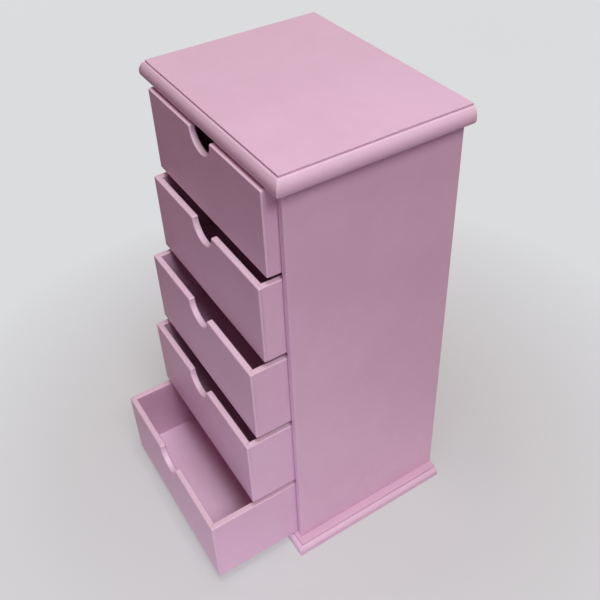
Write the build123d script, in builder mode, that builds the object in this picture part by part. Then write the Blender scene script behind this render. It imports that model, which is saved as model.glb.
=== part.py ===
from build123d import *
import os

# Five-drawer chest for make-up and jewellery, in millimetres.
# The origin is on the floor, under the middle of the case. +X is the right side, -Y the front, +Z up.

# Case
case_width = 210.0
case_depth = 170.0
side_thickness = 6.5
side_housing = 3.0
shelf_thickness = 6.0
shelf_setback = 3.0
shelf_housing = 2.0
back_thickness = 3.0
back_rebate = 3.5

# Moulded top and base boards
top_thickness = 18.0
top_front_overhang = 5.8
top_side_overhang = 7.4
base_thickness = 12.0
base_front_overhang = 4.4
base_side_overhang = 8.0
quirk_depth = 1.8
nose_brow_radius = 2.6
nose_brow_turn = 50.0
nose_breast_radius = 13.6
ovolo_radius = 4.7
base_foot_radius = 1.5

# Drawers, from the top one down, each with the distance it stands open
drawer_openings = (12.6, 21.0, 35.6, 46.4, 92.0)
drawer_height = 80.8
drawer_board = 6.0
drawer_side_clearance = 1.0
drawer_foot_clearance = 0.3
drawer_head_clearance = 0.7
drawer_rear_clearance = 1.0
front_lip = 3.0
back_housing = 2.0
bottom_thickness = 3.0
bottom_height = 5.5
bottom_groove = 2.5
bottom_play = 0.2
notch_diameter = 35.0

# Arrises rubbed down before painting
edge_ease = 0.8

# Wire staples that hold the back
staple_crown = 10.0
staple_leg = 12.0
staple_wire_width = 1.2
staple_wire_thickness = 0.6
shelf_staple_spacing = 100.0

# Sizes and places that follow
drawer_count = len(drawer_openings)
bay_height = drawer_foot_clearance + drawer_height + drawer_head_clearance
bay_pitch = bay_height + shelf_thickness
case_height = drawer_count * bay_height + (drawer_count - 1) * shelf_thickness
case_floor = base_thickness
case_ceiling = case_floor + case_height
case_front = -case_depth / 2
case_rear = case_depth / 2
back_front = case_rear - back_thickness
inner_width = case_width - 2 * side_thickness

drawer_width = inner_width - 2 * drawer_side_clearance
drawer_inner_width = drawer_width - 2 * drawer_board
drawer_length = case_depth - back_thickness - drawer_rear_clearance
bottom_bite = bottom_groove - bottom_play
bottom_width = drawer_inner_width + 2 * bottom_bite
bottom_length = drawer_length - 2 * drawer_board + 2 * bottom_bite

bay_floors = [case_floor + (drawer_count - 1 - bay) * bay_pitch for bay in range(drawer_count)]
shelf_undersides = [floor - shelf_thickness for floor in bay_floors[:-1]]


def save(name, builder):
    """Name a finished piece and write it."""
    builder.part.label = name
    export_step(builder.part, f"parts/{name}.step")


def add_box(size, low):
    """Box of a given size placed by its lowest corner."""
    with Locations(low):
        return Box(*size, align=Align.MIN)


def cut_box(size, low):
    """Box cut away, placed by its lowest corner."""
    with Locations(low):
        return Box(*size, align=Align.MIN, mode=Mode.SUBTRACT)


def other_hand(builder):
    """The same piece made for the left instead of the right."""
    with BuildPart() as mirrored:
        mirror(builder.part, about=Plane.YZ)
    return mirrored


# Staples


def make_staple():
    """One staple at the origin: crown along X, legs pointing down, a flat wire bent square."""
    half = staple_crown / 2
    inside = half - staple_wire_thickness
    with BuildPart() as staple:
        with BuildSketch(Plane.XZ):
            with BuildLine():
                Polyline(
                    (-half, 0),
                    (half, 0),
                    (half, -staple_leg),
                    (inside, -staple_leg),
                    (inside, -staple_wire_thickness),
                    (-inside, -staple_wire_thickness),
                    (-inside, -staple_leg),
                    (-half, -staple_leg),
                    close=True,
                )
            make_face()
        extrude(amount=staple_wire_width / 2, both=True)
    return staple.part


def rear_place(x, z, crown_direction):
    """Place on the rear of the back panel, looking outwards."""
    return Plane(origin=(x, case_rear, z), x_dir=crown_direction, z_dir=(0, 1, 0))


def side_staples(hand):
    """Places of the staples that go into one side, upright, one at every bay."""
    x = hand * (inner_width + back_rebate) / 2
    return [rear_place(x, floor + bay_height / 2, (0, 0, 1)) for floor in bay_floors]


def shelf_staples(underside):
    """Places of the two staples that go into one shelf, level."""
    z = underside + shelf_thickness / 2
    return [rear_place(hand * shelf_staple_spacing / 2, z, (1, 0, 0)) for hand in (-1, 1)]


staple = make_staple()


def set_staples(places, mode):
    """Add the staples at these places, or cut their seats."""
    with Locations(*places):
        add(staple, mode=mode)


def set_all_staples(mode):
    """Add every staple, or cut every seat."""
    set_staples(side_staples(-1), mode)
    set_staples(side_staples(1), mode)
    for underside in shelf_undersides:
        set_staples(shelf_staples(underside), mode)


# Moulded boards


def bull_nose(edge, out, underside, surface):
    """Edge of the top: a quirk, a round brow, a full breast and a curve back to the underside."""
    step = Line((edge, surface), (edge, surface - quirk_depth))
    brow = JernArc(
        start=step @ 1, tangent=(out, 0), radius=nose_brow_radius, arc_size=-nose_brow_turn * out
    )
    breast_turn = 90 - nose_brow_turn
    breast = JernArc(
        start=brow @ 1, tangent=brow % 1, radius=nose_breast_radius, arc_size=-breast_turn * out
    )
    return TangentArc(breast @ 1, (edge, underside), tangent=(0, -1))


def ovolo(edge, out, underside, surface):
    """Edge of the base: a quirk and a quarter round, then a straight drop to a small foot round."""
    step = Line((edge, surface), (edge, surface - quirk_depth))
    brow = JernArc(start=step @ 1, tangent=(out, 0), radius=ovolo_radius, arc_size=-90 * out)
    drop = Line(brow @ 1, (edge + out * ovolo_radius, underside + base_foot_radius))
    return JernArc(start=drop @ 1, tangent=(0, -1), radius=base_foot_radius, arc_size=-90 * out)


def moulded_board(edge_shape, underside, surface, front_overhang, side_overhang):
    """Board moulded along its front and both ends, and cut flush with the case behind.

    A section from front to rear and one from side to side meet, which mitres the corners.
    """
    field_front = case_front - front_overhang
    field_side = case_width / 2 + side_overhang
    with BuildPart() as board:
        with BuildSketch(Plane.YZ):
            with BuildLine():
                foot = edge_shape(field_front, -1, underside, surface) @ 1
                Polyline(foot, (case_rear, underside), (case_rear, surface), (field_front, surface))
            make_face()
        extrude(amount=case_width, both=True)
        with BuildSketch(Plane.XZ):
            with BuildLine():
                foot = edge_shape(field_side, 1, underside, surface) @ 1
                Polyline(foot, (0, underside), (0, surface), (field_side, surface))
            make_face()
            mirror(about=Plane.YZ)
        extrude(amount=case_depth, both=True, mode=Mode.INTERSECT)
    return board


def house_sides(low_z):
    """Cut the two housings that take the ends of the case's sides."""
    for low_x in (-case_width / 2, inner_width / 2):
        cut_box((side_thickness, case_depth, side_housing), (low_x, case_front, low_z))


def make_top_board():
    board = moulded_board(
        bull_nose, case_ceiling, case_ceiling + top_thickness, top_front_overhang, top_side_overhang
    )
    with board:
        house_sides(case_ceiling)
    return board


def make_base_board():
    board = moulded_board(ovolo, 0, case_floor, base_front_overhang, base_side_overhang)
    with board:
        house_sides(case_floor - side_housing)
    return board


# Case


def make_right_side():
    """Side with a stopped housing for each shelf and a rebate for the back."""
    inner_x = inner_width / 2
    height = case_height + 2 * side_housing
    with BuildPart() as side:
        add_box((side_thickness, case_depth, height), (inner_x, case_front, case_floor - side_housing))
        fillet(side.edges().filter_by(Axis.Z), radius=edge_ease)
        for underside in shelf_undersides:
            cut_box(
                (shelf_housing, back_front - case_front - shelf_setback, shelf_thickness),
                (inner_x, case_front + shelf_setback, underside),
            )
        cut_box((back_rebate, back_thickness, case_height), (inner_x, back_front, case_floor))
        set_staples(side_staples(1), Mode.SUBTRACT)
    return side


def make_shelf(underside):
    """Shelf that a drawer runs on, let into both sides and stopped short of the front."""
    width = inner_width + 2 * shelf_housing
    low_y = case_front + shelf_setback
    with BuildPart() as shelf:
        add_box((width, back_front - low_y, shelf_thickness), (-width / 2, low_y, underside))
        fillet(shelf.edges().filter_by(Axis.X).group_by(Axis.Y)[0], radius=edge_ease)
        set_staples(shelf_staples(underside), Mode.SUBTRACT)
    return shelf


def make_back_panel():
    width = inner_width + 2 * back_rebate
    with BuildPart() as back:
        add_box((width, back_thickness, case_height), (-width / 2, back_front, case_floor))
        set_all_staples(Mode.SUBTRACT)
    return back


def make_back_staples():
    with BuildPart() as staples:
        set_all_staples(Mode.ADD)
    return staples


# Drawers


def make_drawer_front(face_y, low_z):
    """Front board: finger notch in the top edge, ends rebated over the sides, groove for the bottom."""
    with BuildPart() as front:
        add_box((drawer_width, drawer_board, drawer_height), (-drawer_width / 2, face_y, low_z))
        with Locations(Plane(origin=(0, face_y, low_z + drawer_height), z_dir=(0, -1, 0))):
            Cylinder(notch_diameter / 2, 2 * drawer_board, mode=Mode.SUBTRACT)
        rear = front.faces().sort_by(Axis.Y)[-1]
        covered = rear.edges().filter_by(Axis.Z) + rear.edges().filter_by(Axis.X).sort_by(Axis.Z)[:1]
        chamfer(front.edges() - covered, length=edge_ease)
        lap = drawer_board - front_lip
        for low_x in (-drawer_width / 2, drawer_inner_width / 2):
            cut_box((drawer_board, lap, drawer_height), (low_x, face_y + front_lip, low_z))
        cut_box(
            (bottom_width + 2 * bottom_play, bottom_groove, bottom_thickness),
            (-bottom_width / 2 - bottom_play, face_y + drawer_board - bottom_groove, low_z + bottom_height),
        )
    return front


def make_drawer_right_side(face_y, low_z):
    """Side of a drawer: grooved for the bottom and rebated at the rear for the back board."""
    inner_x = drawer_inner_width / 2
    low_y = face_y + front_lip
    rear_y = face_y + drawer_length
    with BuildPart() as side:
        add_box((drawer_board, rear_y - low_y, drawer_height), (inner_x, low_y, low_z))
        long_edges = side.edges().filter_by(Axis.Y)
        inner_bottom = long_edges.group_by(Axis.Z)[0].sort_by(Axis.X)[:1]
        fillet(long_edges - inner_bottom, radius=edge_ease)
        cut_box(
            (bottom_groove, bottom_length + 2 * bottom_play, bottom_thickness),
            (inner_x, face_y + drawer_board - bottom_groove, low_z + bottom_height),
        )
        cut_box((back_housing, drawer_board, drawer_height), (inner_x, rear_y - drawer_board, low_z))
    return side


def make_drawer_back(face_y, low_z):
    """Back board of a drawer, let into both sides and grooved for the bottom."""
    width = drawer_inner_width + 2 * back_housing
    low_y = face_y + drawer_length - drawer_board
    with BuildPart() as back:
        add_box((width, drawer_board, drawer_height), (-width / 2, low_y, low_z))
        fillet(back.edges().filter_by(Axis.X).group_by(Axis.Z)[-1], radius=edge_ease)
        cut_box(
            (bottom_width + 2 * bottom_play, bottom_groove, bottom_thickness),
            (-bottom_width / 2 - bottom_play, low_y, low_z + bottom_height),
        )
    return back


def make_drawer_bottom(face_y, low_z):
    """Bottom panel of a drawer, held in a groove on all four sides."""
    low_y = face_y + drawer_board - bottom_bite
    with BuildPart() as bottom:
        add_box(
            (bottom_width, bottom_length, bottom_thickness),
            (-bottom_width / 2, low_y, low_z + bottom_height),
        )
    return bottom


os.makedirs("parts", exist_ok=True)

save("top_board", make_top_board())
save("base_board", make_base_board())
right_side = make_right_side()
save("right_side", right_side)
save("left_side", other_hand(right_side))
for number, underside in enumerate(shelf_undersides, start=1):
    save(f"shelf_{number}", make_shelf(underside))
save("back_panel", make_back_panel())
save("back_panel_staples", make_back_staples())

for number, (opening, bay_floor) in enumerate(zip(drawer_openings, bay_floors), start=1):
    face_y = case_front - opening
    low_z = bay_floor + drawer_foot_clearance
    drawer_side = make_drawer_right_side(face_y, low_z)
    save(f"drawer_{number}_front", make_drawer_front(face_y, low_z))
    save(f"drawer_{number}_right_side", drawer_side)
    save(f"drawer_{number}_left_side", other_hand(drawer_side))
    save(f"drawer_{number}_back", make_drawer_back(face_y, low_z))
    save(f"drawer_{number}_bottom", make_drawer_bottom(face_y, low_z))
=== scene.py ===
"""Five-drawer chest for make-up and jewellery: pink painted board on a pale floor, softly lit."""
import math

import bpy
from mathutils import Matrix, Vector

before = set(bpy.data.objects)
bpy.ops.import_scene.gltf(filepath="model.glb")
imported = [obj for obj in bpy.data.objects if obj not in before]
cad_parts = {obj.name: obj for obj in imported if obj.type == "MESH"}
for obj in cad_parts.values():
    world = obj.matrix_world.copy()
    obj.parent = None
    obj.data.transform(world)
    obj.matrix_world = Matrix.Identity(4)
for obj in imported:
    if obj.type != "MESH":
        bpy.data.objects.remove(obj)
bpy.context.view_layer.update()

MM = 0.001


def colour(hex_code):
    """sRGB hex to linear RGBA."""
    parts = [int(hex_code[i : i + 2], 16) / 255 for i in (1, 3, 5)]
    return [c / 12.92 if c <= 0.04045 else ((c + 0.055) / 1.055) ** 2.4 for c in parts] + [1.0]


# Materials


def add_node(tree, kind, sockets=None, **settings):
    """Add a node, set its properties, and set its inputs or link them from a node or a socket."""
    node = tree.nodes.new(kind)
    for name, value in settings.items():
        setattr(node, name, value)
    for name, value in (sockets or {}).items():
        if isinstance(name, int):
            target = node.inputs[name]
        else:
            target = next(s for s in node.inputs if s.enabled and s.name == name)
        if isinstance(value, bpy.types.Node):
            value = next(s for s in value.outputs if s.enabled)
        if isinstance(value, bpy.types.NodeSocket):
            tree.links.new(value, target)
        else:
            target.default_value = value
    return node


def new_material(name):
    """Empty node material and its tree."""
    material = bpy.data.materials.new(name)
    material.use_nodes = True
    material.node_tree.nodes.clear()
    return material, material.node_tree


# The widest shift of the patterns from piece to piece, in metres
PIECE_SHIFT = 7.0


def from_own_corner(tree):
    """Place on the piece in metres, shifted by a different amount on each piece."""
    place = add_node(tree, "ShaderNodeTexCoord").outputs["Object"]
    chance = add_node(tree, "ShaderNodeObjectInfo").outputs["Random"]
    shift = add_node(tree, "ShaderNodeMath", {0: chance, 1: PIECE_SHIFT}, operation="MULTIPLY")
    return add_node(tree, "ShaderNodeVectorMath", {0: place, 1: shift})


# The paint's colours
BOARD_COATS = ("#DDB8D0", "#E2BFD7")
# The drawer floors' coats are paler than the boards': a painted light on the floors
BOTTOM_COATS_PAINTED_LIGHTER = ("#E6C0DA", "#ECC8E2")
# Paler where arrises are rubbed, and also a painted highlight along them
MOULDING_RUBBED_AND_HIGHLIT = "#F6DCEC"
DRAWER_RUBBED_AND_HIGHLIT = "#F2D6E8"
FLAT_RUBBED_AND_HIGHLIT = "#EACCE0"
# Darker tones painted into crevices, quirks and gaps: painted shade
TOP_PAINTED_SHADE = "#8E5C7C"
CASE_PAINTED_SHADE = "#B98AA8"
DRAWER_PAINTED_SHADE = "#C694B4"
# Paler where cut fibres drink the paint, and also a painted light on faces that look up
CUT_AND_LIT_PALE = "#F4DDEC"

# The sizes of its patterns, in millimetres
COAT_DRIFT = 90
COAT_MOTTLE = 11
RUBBED_PATCH = 6
ARRIS_RADIUS = 0.9
BOARD_WAVE = 45
BOARD_WAVE_HEIGHT = 0.05
STIPPLE = 2.0
STIPPLE_HEIGHT = 0.014
FIBRE_SPECKLE = 1.3

# How strongly they show
MOTTLE_SHARE = 0.25
SHEEN_SPREAD = 0.07
# The strongest painted shade, in the deepest crevices
DEEPEST_PAINTED_SHADE = 0.8
# How far cut faces go to the pale tone; on faces that look up this is also painted light
MOULDING_CUT_AND_LIT_SHARE = 0.45
SAWN_CUT_AND_LIT_SHARE = 0.7
FAINTEST_SPECKLE = 0.5

# Typical of dried paint
PAINT_IOR = 1.5

# Ways the roller ran: its stipple is drawn out along the axis with the smaller number
EVENLY = (1, 1, 1)
ALONG_WIDTH = (0.4, 1, 1)
ALONG_HEIGHT = (1, 1, 0.4)


def rolled_coat(tree, drift, mottle, coats):
    """The coat's pink, between its two tones.

    The coat lies thicker over one hand's width and thinner over the next, and mottles a little
    where two passes overlap.
    """
    uneven = add_node(tree, "ShaderNodeMix", {"Factor": MOTTLE_SHARE, "A": drift, "B": mottle})
    thickness = add_node(
        tree, "ShaderNodeMapRange", {"Value": uneven, "From Min": 0.38, "From Max": 0.62}
    )
    return add_node(
        tree,
        "ShaderNodeMix",
        {"Factor": thickness, "A": colour(coats[0]), "B": colour(coats[1])},
        data_type="RGBA",
    )


def rubbed_highlit_and_shaded(tree, place, paint, rounded, flat, rubbed_and_highlit, shade_tone, shade_reach):
    """The paint with its arrises rubbed and highlighted, and its crevices painted in shade.

    Rounded arrises are rubbed through and touched most, so they are paler in patches, and the
    same pale tone is a painted highlight along them. Quirks and grooves are painted darker, a
    painted shade.
    """
    # Where the surface turns within an arris's radius, and isn't in a hollow, it is rubbed and
    # painted with a highlight
    turn = add_node(tree, "ShaderNodeVectorMath", {0: rounded, 1: flat}, operation="DOT_PRODUCT")
    arris = add_node(
        tree, "ShaderNodeMapRange", {"Value": turn, "From Min": 0.99, "From Max": 0.9}
    )
    open_air = add_node(
        tree,
        "ShaderNodeAmbientOcclusion",
        {"Distance": shade_reach * MM},
        samples=4,
        only_local=True,
    ).outputs["AO"]
    outer = add_node(
        tree, "ShaderNodeMapRange", {"Value": open_air, "From Min": 0.75, "From Max": 0.95}
    )
    touched = add_node(tree, "ShaderNodeMath", {0: arris, 1: outer}, operation="MULTIPLY")
    patch = add_node(
        tree,
        "ShaderNodeTexNoise",
        {"Vector": place, "Scale": 1 / (RUBBED_PATCH * MM), "Detail": 4.0},
    )
    rubbing = add_node(
        tree,
        "ShaderNodeMapRange",
        {"Value": patch, "From Min": 0.3, "From Max": 0.6, "To Min": 0.35, "To Max": 0.95},
    )
    wear_and_highlight = add_node(tree, "ShaderNodeMath", {0: touched, 1: rubbing}, operation="MULTIPLY")
    worn_and_highlit = add_node(
        tree, "ShaderNodeMix", {"Factor": wear_and_highlight, "A": paint, "B": colour(rubbed_and_highlit)}, data_type="RGBA"
    )
    # Painted shade: the less open air about a point, the darker its paint
    shade_depth = add_node(
        tree,
        "ShaderNodeMapRange",
        {"Value": open_air, "From Min": 0.8, "From Max": 0.3, "To Max": DEEPEST_PAINTED_SHADE},
    )
    return add_node(
        tree, "ShaderNodeMix", {"Factor": shade_depth, "A": worn_and_highlit, "B": colour(shade_tone)}, data_type="RGBA"
    )


def pale_where_cut_and_lit(tree, place, surface, flat, cut_and_lit_share, flat_is_cut):
    """The paint, paler where the board under it was cut and where it faces up.

    Cut fibres drink the paint, so they stay chalk-pale and speckled. Only faces that look up are
    made paler, a sawn upper edge or the upper half of a routed moulding, so the pale is also a
    painted light from above.
    """
    upward = add_node(tree, "ShaderNodeSeparateXYZ", {0: flat}).outputs["Z"]
    # Faces that look up: the cut fibres' pale, and also a painted light from above
    cut = add_node(tree, "ShaderNodeMapRange", {"Value": upward, "From Min": 0.1, "From Max": 0.5})
    if not flat_is_cut:
        sloped = add_node(
            tree, "ShaderNodeMapRange", {"Value": upward, "From Min": 0.99, "From Max": 0.95}
        )
        cut = add_node(tree, "ShaderNodeMath", {0: cut, 1: sloped}, operation="MULTIPLY")
    fibres = add_node(
        tree,
        "ShaderNodeTexNoise",
        {"Vector": place, "Scale": 1 / (FIBRE_SPECKLE * MM), "Detail": 1.0},
    )
    speckle = add_node(
        tree,
        "ShaderNodeMapRange",
        {
            "Value": fibres,
            "From Min": 0.35,
            "From Max": 0.65,
            "To Min": FAINTEST_SPECKLE * cut_and_lit_share,
            "To Max": cut_and_lit_share,
        },
    )
    chalky_and_lit = add_node(tree, "ShaderNodeMath", {0: cut, 1: speckle}, operation="MULTIPLY")
    return add_node(
        tree,
        "ShaderNodeMix",
        {"Factor": chalky_and_lit, "A": surface, "B": colour(CUT_AND_LIT_PALE)},
        data_type="RGBA",
    )


def satin_paint(
    name,
    coats,
    rubbed_and_highlit,
    shade_tone,
    shade_reach,
    roughness,
    rolled,
    cut_and_lit_share=0,
    flat_is_cut=True,
):
    """Water-based satin furniture paint, rolled on fibreboard and rubbed down between coats.

    The pink shifts where the coat is thicker or thinner, is paler on rubbed arrises and cut edges,
    and deeper in crevices; the pale arrises are also a painted highlight, the pale faces that look
    up a painted light, and the deeper crevices a painted shade. The board is flat to a twentieth
    of a millimetre, and the roller leaves a stipple that breaks up the sheen. The real stipple and
    speckle are about 0.5 mm, and are drawn coarser so that they show.

    The painted shade's reach into crevices is in millimetres. The cut share is how far cut fibres,
    and faces that look up as a painted light, go to the pale tone, and flat_is_cut tells whether a
    face that looks straight up is a cut one.
    """
    material, tree = new_material(name)
    place = from_own_corner(tree)
    rounded = add_node(tree, "ShaderNodeBevel", {"Radius": ARRIS_RADIUS * MM}, samples=4)
    flat = add_node(tree, "ShaderNodeNewGeometry").outputs["Normal"]
    drift = add_node(
        tree,
        "ShaderNodeTexNoise",
        {"Vector": place, "Scale": 1 / (COAT_DRIFT * MM), "Detail": 3.0},
    )
    mottle = add_node(
        tree,
        "ShaderNodeTexNoise",
        {"Vector": place, "Scale": 1 / (COAT_MOTTLE * MM), "Detail": 3.0},
    )

    paint = rolled_coat(tree, drift, mottle, coats)
    surface = rubbed_highlit_and_shaded(
        tree, place, paint, rounded, flat, rubbed_and_highlit, shade_tone, shade_reach
    )
    if cut_and_lit_share:
        surface = pale_where_cut_and_lit(tree, place, surface, flat, cut_and_lit_share, flat_is_cut)

    board = add_node(
        tree,
        "ShaderNodeTexNoise",
        {"Vector": place, "Scale": 1 / (BOARD_WAVE * MM), "Detail": 1.0},
    )
    waves = add_node(
        tree,
        "ShaderNodeBump",
        {"Height": board, "Distance": BOARD_WAVE_HEIGHT * MM, "Normal": rounded},
    )
    stroke = add_node(tree, "ShaderNodeMapping", {"Vector": place, "Scale": rolled})
    stipple = add_node(
        tree, "ShaderNodeTexNoise", {"Vector": stroke, "Scale": 1 / (STIPPLE * MM), "Detail": 2.0}
    )
    relief = add_node(
        tree,
        "ShaderNodeBump",
        {"Height": stipple, "Distance": STIPPLE_HEIGHT * MM, "Normal": waves},
    )

    sheen = add_node(tree, "ShaderNodeMix", {"Factor": 0.5, "A": stipple, "B": drift})
    dullness = add_node(
        tree,
        "ShaderNodeMapRange",
        {
            "Value": sheen,
            "From Min": 0.35,
            "From Max": 0.65,
            "To Min": roughness - SHEEN_SPREAD,
            "To Max": roughness + SHEEN_SPREAD,
        },
    )
    shader = add_node(
        tree,
        "ShaderNodeBsdfPrincipled",
        {"Base Color": surface, "Roughness": dullness, "IOR": PAINT_IOR, "Normal": relief},
    )
    add_node(tree, "ShaderNodeOutputMaterial", {"Surface": shader})
    return material


ZINC_DULL = "#8F9193"
ZINC_BRIGHT = "#C2C4C6"
ZINC_PATCH = 1.5


def galvanised_wire():
    """Galvanised steel wire, rolled flat: grey and dull, with the zinc's fine patches."""
    material, tree = new_material("galvanised_staple_wire")
    place = from_own_corner(tree)
    bloom = add_node(
        tree,
        "ShaderNodeTexNoise",
        {"Vector": place, "Scale": 1 / (ZINC_PATCH * MM), "Detail": 4.0},
    )
    zinc = add_node(
        tree,
        "ShaderNodeMix",
        {"Factor": bloom, "A": colour(ZINC_DULL), "B": colour(ZINC_BRIGHT)},
        data_type="RGBA",
    )
    dullness = add_node(
        tree,
        "ShaderNodeMapRange",
        {"Value": bloom, "From Min": 0.3, "From Max": 0.7, "To Min": 0.35, "To Max": 0.55},
    )
    shader = add_node(
        tree,
        "ShaderNodeBsdfPrincipled",
        {"Base Color": zinc, "Metallic": 1.0, "Roughness": dullness},
    )
    add_node(tree, "ShaderNodeOutputMaterial", {"Surface": shader})
    return material


top_paint = satin_paint(
    "satin_paint_top_board",
    BOARD_COATS,
    MOULDING_RUBBED_AND_HIGHLIT,
    TOP_PAINTED_SHADE,
    shade_reach=4,
    roughness=0.38,
    rolled=EVENLY,
    cut_and_lit_share=MOULDING_CUT_AND_LIT_SHARE,
    flat_is_cut=False,
)
base_paint = satin_paint(
    "satin_paint_base_board",
    BOARD_COATS,
    MOULDING_RUBBED_AND_HIGHLIT,
    CASE_PAINTED_SHADE,
    shade_reach=4,
    roughness=0.42,
    rolled=EVENLY,
    cut_and_lit_share=MOULDING_CUT_AND_LIT_SHARE,
    flat_is_cut=False,
)
case_paint = satin_paint(
    "satin_paint_case_board",
    BOARD_COATS,
    FLAT_RUBBED_AND_HIGHLIT,
    CASE_PAINTED_SHADE,
    shade_reach=3,
    roughness=0.42,
    rolled=ALONG_HEIGHT,
)
drawer_paint = satin_paint(
    "satin_paint_drawer_board",
    BOARD_COATS,
    DRAWER_RUBBED_AND_HIGHLIT,
    DRAWER_PAINTED_SHADE,
    shade_reach=3,
    roughness=0.42,
    rolled=ALONG_WIDTH,
    cut_and_lit_share=SAWN_CUT_AND_LIT_SHARE,
)
# The drawer floors take paler coats of the same paint, a painted light on them
bottom_paint = satin_paint(
    "satin_paint_drawer_bottom",
    BOTTOM_COATS_PAINTED_LIGHTER,
    FLAT_RUBBED_AND_HIGHLIT,
    DRAWER_PAINTED_SHADE,
    shade_reach=3,
    roughness=0.46,
    rolled=EVENLY,
)
wire = galvanised_wire()


def material_of(node):
    """The material that a CAD node is made of."""
    if node == "back_panel_staples":
        return wire
    if node.endswith("_bottom"):
        return bottom_paint
    if node.startswith("drawer_"):
        return drawer_paint
    if node == "top_board":
        return top_paint
    if node == "base_board":
        return base_paint
    return case_paint


for node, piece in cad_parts.items():
    piece.data.materials.clear()
    piece.data.materials.append(material_of(node))


# Floor and light

NEAR_PALE = "#D2D3D5"
FAR_PALE = "#DCDDDF"
NEAR_BOUNCE = "#E8E8EC"
FAR_BOUNCE = "#505052"
PAST_THE_TABLE = "#3C3C3E"
CLOUDS_PER_METRE = 1.5
CLOUD_SHARE = 0.25
FLOOR_RADIUS = 6.0
ROOM_GLOW = "#FF9092"
ROOM_STRENGTH = 0.2
UPPER_CHEST = (0, 0, 0.3)


def looked_at(tree):
    """1 for camera rays, clear reflections and views through glass, otherwise 0."""
    rays = add_node(tree, "ShaderNodeLightPath").outputs
    seen = add_node(
        tree,
        "ShaderNodeMath",
        {0: rays["Is Camera Ray"], 1: rays["Is Glossy Ray"]},
        operation="MAXIMUM",
    )
    return add_node(
        tree, "ShaderNodeMath", {0: seen, 1: rays["Is Transmission Ray"]}, operation="MAXIMUM"
    )


def make_table_top():
    """Plain pale laminate: it carries the chest's shadow close by, and farther off an even tone.

    The eye sees it pale all over, with faint broad clouds. The paint's sheen and the light thrown
    back on the chest take it for a table that ends: pale close by, and dark farther off.
    """
    material, tree = new_material("pale_table_laminate")
    place = add_node(tree, "ShaderNodeTexCoord").outputs["Object"]
    away = add_node(tree, "ShaderNodeVectorMath", {0: place}, operation="LENGTH")
    cloud = add_node(
        tree, "ShaderNodeTexNoise", {"Vector": place, "Scale": CLOUDS_PER_METRE, "Detail": 2.0}
    )
    farther = add_node(
        tree, "ShaderNodeMapRange", {"Value": away, "From Min": 0.2, "From Max": 0.5}
    )
    drift = add_node(tree, "ShaderNodeMix", {"Factor": CLOUD_SHARE, "A": farther, "B": cloud})
    pale = add_node(
        tree,
        "ShaderNodeMix",
        {"Factor": drift, "A": colour(NEAR_PALE), "B": colour(FAR_PALE)},
        data_type="RGBA",
    )
    fading = add_node(
        tree, "ShaderNodeMapRange", {"Value": away, "From Min": 0.25, "From Max": 1.0}
    )
    bounced = add_node(
        tree,
        "ShaderNodeMix",
        {"Factor": fading, "A": colour(NEAR_BOUNCE), "B": colour(FAR_BOUNCE)},
        data_type="RGBA",
    )
    ending = add_node(
        tree, "ShaderNodeMapRange", {"Value": away, "From Min": 0.15, "From Max": 0.5}
    )
    mirrored = add_node(
        tree,
        "ShaderNodeMix",
        {"Factor": ending, "A": pale, "B": colour(PAST_THE_TABLE)},
        data_type="RGBA",
    )
    eye = add_node(tree, "ShaderNodeLightPath").outputs["Is Camera Ray"]
    seen = add_node(
        tree, "ShaderNodeMix", {"Factor": eye, "A": mirrored, "B": pale}, data_type="RGBA"
    )
    looked = looked_at(tree)
    tone = add_node(
        tree, "ShaderNodeMix", {"Factor": looked, "A": bounced, "B": seen}, data_type="RGBA"
    )
    shader = add_node(tree, "ShaderNodeBsdfPrincipled", {"Base Color": tone, "Roughness": 0.7})
    glow = add_node(tree, "ShaderNodeEmission", {"Color": seen, "Strength": 1.0})
    even = add_node(
        tree,
        "ShaderNodeMapRange",
        {"Value": away, "From Min": 0.2, "From Max": 0.5, "To Min": 0.5},
    )
    share = add_node(tree, "ShaderNodeMath", {0: looked, 1: even}, operation="MULTIPLY")
    both = add_node(tree, "ShaderNodeMixShader", {0: share, 1: shader, 2: glow})
    add_node(tree, "ShaderNodeOutputMaterial", {"Surface": both})
    return material


def make_floor(radius, corners=96):
    """Round flat floor about the chest."""
    turns = [corner * math.tau / corners for corner in range(corners)]
    ring = [(radius * math.cos(turn), radius * math.sin(turn), 0) for turn in turns]
    mesh = bpy.data.meshes.new("floor")
    mesh.from_pydata(ring, [], [list(range(corners))])
    mesh.materials.append(make_table_top())
    floor = bpy.data.objects.new("floor", mesh)
    bpy.context.scene.collection.objects.link(floor)


def make_soft_light(name, place, target, size, power, hex_code):
    """Square soft light at a place, turned to a target; its power is spread over its face."""
    data = bpy.data.lights.new(name, "AREA")
    data.shape = "SQUARE"
    data.size = size
    data.energy = power
    data.color = colour(hex_code)[:3]
    lamp = bpy.data.objects.new(name, data)
    lamp.location = place
    lamp.rotation_mode = "QUATERNION"
    lamp.rotation_quaternion = (Vector(target) - Vector(place)).to_track_quat("-Z", "Y")
    bpy.context.scene.collection.objects.link(lamp)


def make_world():
    """Dim, warm room light; the eye and clear reflections see a pale wall."""
    world = bpy.data.worlds.new("room")
    bpy.context.scene.world = world
    world.use_nodes = True
    tree = world.node_tree
    tree.nodes.clear()
    room = add_node(
        tree, "ShaderNodeBackground", {"Color": colour(ROOM_GLOW), "Strength": ROOM_STRENGTH}
    )
    wall = add_node(tree, "ShaderNodeBackground", {"Color": colour(FAR_PALE), "Strength": 1.0})
    mix = add_node(tree, "ShaderNodeMixShader", {0: looked_at(tree), 1: room, 2: wall})
    add_node(tree, "ShaderNodeOutputWorld", {"Surface": mix})


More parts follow.
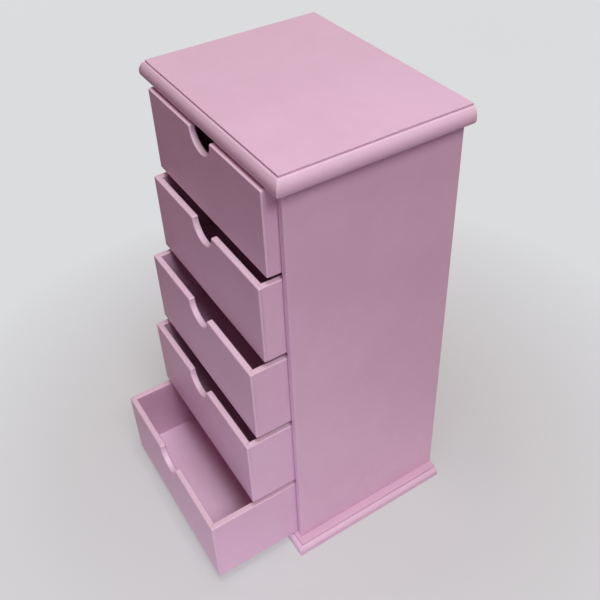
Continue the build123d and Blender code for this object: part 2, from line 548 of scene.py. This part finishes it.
make_floor(FLOOR_RADIUS)
make_world()
make_soft_light(
    "ceiling_light",
    place=(0.25, -0.15, 2.0),
    target=UPPER_CHEST,
    size=0.6,
    power=11.4,
    hex_code="#F6FFFC",
)
make_soft_light(
    "window_light",
    place=(1.2, -0.22, 1.85),
    target=UPPER_CHEST,
    size=0.6,
    power=16.6,
    hex_code="#FCFDFF",
)
# What the pale table throws up at the lower drawers and the side next to them
make_soft_light(
    "table_glow",
    place=(0.35, -0.45, 0.06),
    target=(0.05, -0.1, 0.08),
    size=0.25,
    power=0.7,
    hex_code="#DCE4FF",
)


# Camera: it stands where the photograph's corners put it when its shift is held small

FRAME_PX = 600
SENSOR_MM = 36
NEAREST_SEEN = 0.01


def make_camera(place, azimuth, elevation, roll, focal_px, centre_px):
    """Camera at a place in metres, turned by degrees; focal length and centre are in pixels."""
    azimuth, elevation, roll = (math.radians(angle) for angle in (azimuth, elevation, roll))
    level_reach = math.cos(elevation)
    back = Vector(
        (math.sin(azimuth) * level_reach, -math.cos(azimuth) * level_reach, math.sin(elevation))
    )
    level = (-back).cross(Vector((0, 0, 1))).normalized()
    upright = level.cross(-back)
    right = math.cos(roll) * level + math.sin(roll) * upright
    up = -math.sin(roll) * level + math.cos(roll) * upright
    data = bpy.data.cameras.new("camera")
    data.sensor_width = SENSOR_MM
    data.lens = focal_px / FRAME_PX * SENSOR_MM
    data.shift_x = (FRAME_PX / 2 - centre_px[0]) / FRAME_PX
    data.shift_y = (centre_px[1] - FRAME_PX / 2) / FRAME_PX
    data.clip_start = NEAREST_SEEN
    camera = bpy.data.objects.new("camera", data)
    turn = Matrix((right, up, back)).transposed().to_4x4()
    camera.matrix_world = Matrix.Translation(Vector(place)) @ turn
    bpy.context.scene.collection.objects.link(camera)
    bpy.context.scene.camera = camera


make_camera(
    place=(0.51297, -0.31360, 0.76172),
    azimuth=59.31,
    elevation=38.10,
    roll=-2.59,
    focal_px=801.7,
    centre_px=(300.0, 245.0),
)
bpy.context.scene.view_settings.view_transform = "Standard"
